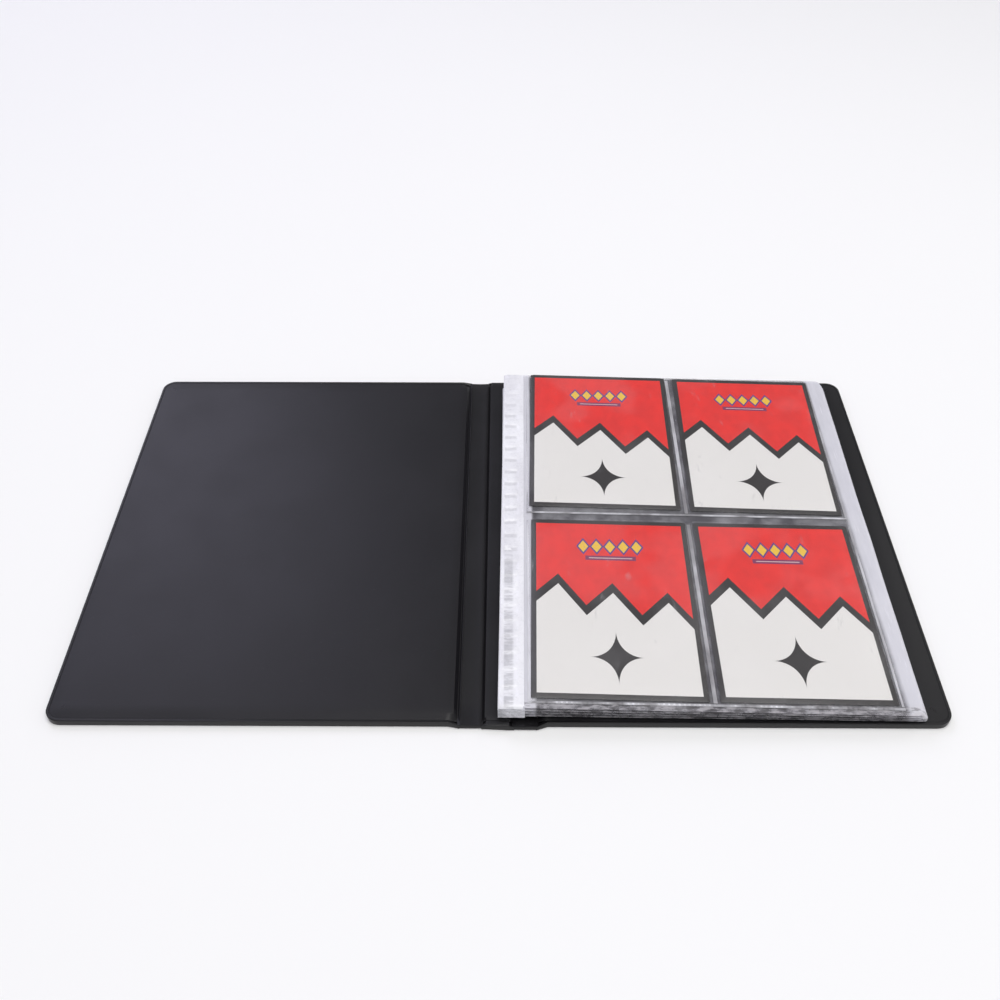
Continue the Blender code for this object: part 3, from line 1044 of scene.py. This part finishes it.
def makeSeam(name, start, end, along, width, knurled):
    left, slope = leafLift(1)
    base = leafLook["film"] / 2 + leafLook["pocketFilm"] + 0.03 * mm
    if along == "X":
        low, high = (start[0], start[1] - width / 2, base), (end[0], start[1] + width / 2, base + 0.06 * mm)
    else:
        low, high = (start[0] - width / 2, start[1], base), (start[0] + width / 2, end[1], base + 0.06 * mm)
    seam = addBlock(name, low, high)
    openMesh(seam)
    pick(seam, "FACE", lambda at, way: way.z > 0.9)
    bpy.ops.mesh.inset(thickness=min(width * 0.2, 0.2 * mm))
    moveBy(z=0.05 * mm)
    steps = round((end[0] - start[0] if along == "X" else end[1] - start[1]) / (6 * mm))
    if along == "X":
        rule(spread(low[0], high[0], steps)[1:-1], (1, 0, 0))
    else:
        rule(spread(low[1], high[1], steps)[1:-1], (0, 1, 0))
    closeMesh()
    pieces = [seam]
    if knurled:
        knurl = addBlock(f"{name}_knurl", (low[0] + 1 * mm, start[1] - seamLook["knurl"] / 2, base),
                         (low[0] + 1 * mm + seamLook["knurl"] * 0.9, start[1] + seamLook["knurl"] / 2,
                          base + seamLook["height"]))
        openMesh(knurl)
        pick(knurl, "FACE", lambda at, way: way.z > 0.9)
        bpy.ops.mesh.inset(thickness=0.2 * mm)
        moveBy(z=0.10 * mm)
        closeMesh()
        finishWith(knurl, "ARRAY", count=int((end[0] - start[0] - 2 * mm) / seamLook["knurlPitch"]),
                   use_relative_offset=False, use_constant_offset=True,
                   constant_offset_displace=(seamLook["knurlPitch"], 0, 0))
        pieces.append(knurl)
    for piece in pieces:
        settle(piece, 1)
        layWave(piece)
        smoothOver(piece, 30)
        skew(piece)
        dress(piece, padFilm if piece is not seam else weldFilm)
        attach(piece, "leaf_01")


pocketLeft, pocketRight = leafLook["pocketLeft"], leafLook["pocketRight"]
for row in ("lower", "upper"):
    foot, head = leafLook[f"{row}Row"]
    makeSeam(f"{row}_foot_seam", (pocketLeft, foot + 0.6 * mm), (pocketRight, foot + 0.6 * mm), "X",
             1.0 * mm, row == "lower")
    middleX = sum(leafLook["columnWeld"]) / 2
    makeSeam(f"{row}_column_seam", (middleX, foot + 1.5 * mm), (middleX, head - 1.0 * mm), "Y",
             1.5 * mm, False)
    makeSeam(f"{row}_fore_seam", (pocketRight - 0.6 * mm, foot + 1.5 * mm),
             (pocketRight - 0.6 * mm, head - 1.0 * mm), "Y", 0.8 * mm, False)
print("seams ready")


# printed sleeves and the cards in them

sleeveLook = {
    "width": 66.6 * mm,
    "height": 93.3 * mm,
    "thick": 0.80 * mm,
    "seam": 1.4 * mm,
    "wall": 0.06 * mm,
    "play": 0.10 * mm,
    "rest": {  # each sleeve's middle as it has slipped in its pocket, and its turn
        "upper_left": (47.4, 51.7, -1.20),
        "upper_right": (118.1, 49.9, -1.30),
        "lower_left": (46.4, -50.1, -0.90),
        "lower_right": (116.7, -50.8, -0.40),
    },
}
cardLook = {"width": 63.0 * mm, "height": 88.0 * mm, "thick": 0.35 * mm, "corner": 3.0 * mm}


def flatMap(piece, left, foot, width, height):  # lays a map over the piece from above
    layer = piece.data.uv_layers.active or piece.data.uv_layers.new(name="lay")
    for loop in piece.data.loops:
        at = piece.data.vertices[loop.vertex_index].co
        layer.data[loop.index].uv = ((at.x - left) / width, (at.y - foot) / height)


def makeSleeve():  # a flat pouch at the origin's corner, open at its head
    width, height, thick, seam = (sleeveLook[key] for key in ("width", "height", "thick", "seam"))
    sleeve = addBlock("sleeveBlank", (0, 0, 0), (width, height, thick))
    openMesh(sleeve)
    rule([seam] + spread(seam, width - seam, 10)[1:-1] + [width - seam], (1, 0, 0))
    rule([seam] + spread(seam, height, 14)[1:-1], (0, 1, 0))
    rule([thick / 2], (0, 0, 1))
    for sign, target in ((1, 0.0), (-1, thick)):
        pick(sleeve, "VERT", lambda at, way: (
            at.x < 0.01 * mm or at.x > width - 0.01 * mm or at.y < 0.01 * mm)
             and abs(at.z - target) < 0.01 * mm)
        moveBy(z=sign * (thick / 2 - 0.07 * mm))
    pick(sleeve, "FACE", lambda at, way: way.y > 0.9)
    bpy.ops.mesh.delete(type="ONLY_FACE")
    closeMesh()
    thicken(sleeve, sleeveLook["wall"])
    flatMap(sleeve, 0, 0, width, height)
    smoothOver(sleeve, 30)
    dress(sleeve, sleevePrint, sleeveBack)
    for face in sleeve.data.polygons:
        face.material_index = 1 if face.center.z < thick * 0.49 else 0
    return sleeve


def makeCard():
    inset = (sleeveLook["width"] - cardLook["width"]) / 2
    low = (inset, inset, (sleeveLook["thick"] - cardLook["thick"]) / 2)
    high = (inset + cardLook["width"], inset + cardLook["height"], low[2] + cardLook["thick"])
    card = addBlock("cardBlank", low, high)
    openMesh(card)
    pick(card, "EDGE", lambda at, way: abs(way.z) > 0.9)
    bpy.ops.mesh.bevel(offset=cardLook["corner"], segments=6, affect="EDGES")
    closeMesh()
    finishWith(card, "BEVEL", width=0.06 * mm, segments=2, limit_method="ANGLE", angle_limit=math.radians(50))
    openMesh(card)
    rule(spread(low[0], high[0], 8)[1:-1], (1, 0, 0))
    rule(spread(low[1], high[1], 10)[1:-1], (0, 1, 0))
    closeMesh()
    flatMap(card, low[0], low[1], cardLook["width"], cardLook["height"])
    smoothOver(card, 40)
    dress(card, cardStock)
    return card


sleeveBlank, cardBlank = makeSleeve(), makeCard()
for place, (middleX, middleY, turn) in sleeveLook["rest"].items():
    rise = leafLook["film"] / 2 + sleeveLook["play"]
    for blankPiece, kind, slot in (
        (sleeveBlank, "sleeve", "printed_sleeve"), (cardBlank, "card", "card_stock")
    ):
        piece = copyOf(blankPiece, f"{place}_{kind}_piece")
        openMesh(piece)
        bpy.ops.mesh.select_all(action="SELECT")
        moveBy(middleX * mm - sleeveLook["width"] / 2, middleY * mm - sleeveLook["height"] / 2, rise)
        turnBy(math.radians(turn), "Z", (middleX * mm, middleY * mm, rise))
        closeMesh()
        settle(piece, 1)
        layWave(piece)
        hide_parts(f"{place}_{kind}")
        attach(piece, f"{place}_sleeved_card")
bpy.data.objects.remove(sleeveBlank)
bpy.data.objects.remove(cardBlank)
print("sleeves and cards ready")


# floor, light and camera

studioLook = {
    "floor": (0.90, 0.90, 0.905),
    "lens": 38.97,
    "cameraPlace": (2.5 * mm, -333.9 * mm, 343.7 * mm),
    "pitch": 44.20,
    "heading": 0.376,
    "roll": -0.081,
}

letGo()
bpy.ops.mesh.primitive_plane_add(size=24, location=(0, 0, -0.02 * mm))
floor = bpy.context.object
floor.name = "studio_floor"
floorFinish = Finish("studioFloor", Roughness=0.85, Specular_IOR_Level=0.2)
floorTone = floorFinish.noise(floorFinish.place(), 3.0, 2.0, 0.5)
floorFinish.feed(Base_Color=floorFinish.blendColours(floorTone, studioLook["floor"], (0.915, 0.915, 0.92)))
dress(floor, floorFinish)

world = bpy.data.worlds.new("studioAir")
bpy.context.scene.world = world
world.use_nodes = True
sky = world.node_tree
around = sky.nodes.new("ShaderNodeTexCoord")
parts = sky.nodes.new("ShaderNodeSeparateXYZ")
fade = sky.nodes.new("ShaderNodeMapRange")
fade.interpolation_type = "SMOOTHSTEP"
for socket, value in ((1, 0.0), (2, 0.50), (3, 0.90), (4, 0.20)):
    fade.inputs[socket].default_value = value
sky.links.new(around.outputs["Generated"], parts.inputs[0])
sky.links.new(parts.outputs["Z"], fade.inputs[0])
sky.links.new(fade.outputs[0], sky.nodes["Background"].inputs["Strength"])
sky.nodes["Background"].inputs["Color"].default_value = (0.96, 0.97, 1.0, 1.0)

lights = {
    "overhead": {"place": (0.15, -0.25, 1.9), "aim": (0, 0, 0),
        "size": 1.7, "power": 31.5, "colour": (1.0, 0.99, 0.98)},
    "backLeft": {"place": (-0.72, 1.10, 1.08), "aim": (-0.12, 0.02, 0),
        "size": 0.8, "power": 5.6, "colour": (0.80, 0.78, 1.0)},
    "backRight": {"place": (0.80, 0.72, 0.92), "aim": (0, 0, 0),
        "size": 0.4, "power": 0.9, "colour": (1.0, 0.98, 0.97)},
    "fillRight": {"place": (1.3, -0.3, 0.9), "aim": (0.1, 0, 0),
        "size": 0.8, "power": 1.2, "colour": (1.0, 1.0, 1.0)},
}
for name, look in lights.items():
    light = bpy.data.lights.new(name, "AREA")
    light.shape = "SQUARE"
    light.size = look["size"]
    light.energy = look["power"]
    light.color = look["colour"]
    lamp = bpy.data.objects.new(name, light)
    bpy.context.scene.collection.objects.link(lamp)
    lamp.location = look["place"]
    aim = Matrix.Translation(look["aim"]).translation - lamp.location
    lamp.rotation_euler = aim.to_track_quat("-Z", "Y").to_euler()

lens = bpy.data.cameras.new("camera")
lens.lens = studioLook["lens"]
lens.sensor_width = 36
lens.clip_start, lens.clip_end = 0.01, 50
camera = bpy.data.objects.new("camera", lens)
bpy.context.scene.collection.objects.link(camera)
camera.matrix_world = (
    Matrix.Translation(studioLook["cameraPlace"])
    @ Matrix.Rotation(math.radians(studioLook["heading"]), 4, "Z")
    @ Matrix.Rotation(math.radians(90 - studioLook["pitch"]), 4, "X")
    @ Matrix.Rotation(math.radians(studioLook["roll"]), 4, "Z")
)
bpy.context.scene.camera = camera
bpy.context.scene.view_settings.view_transform = "Standard"

letGo()
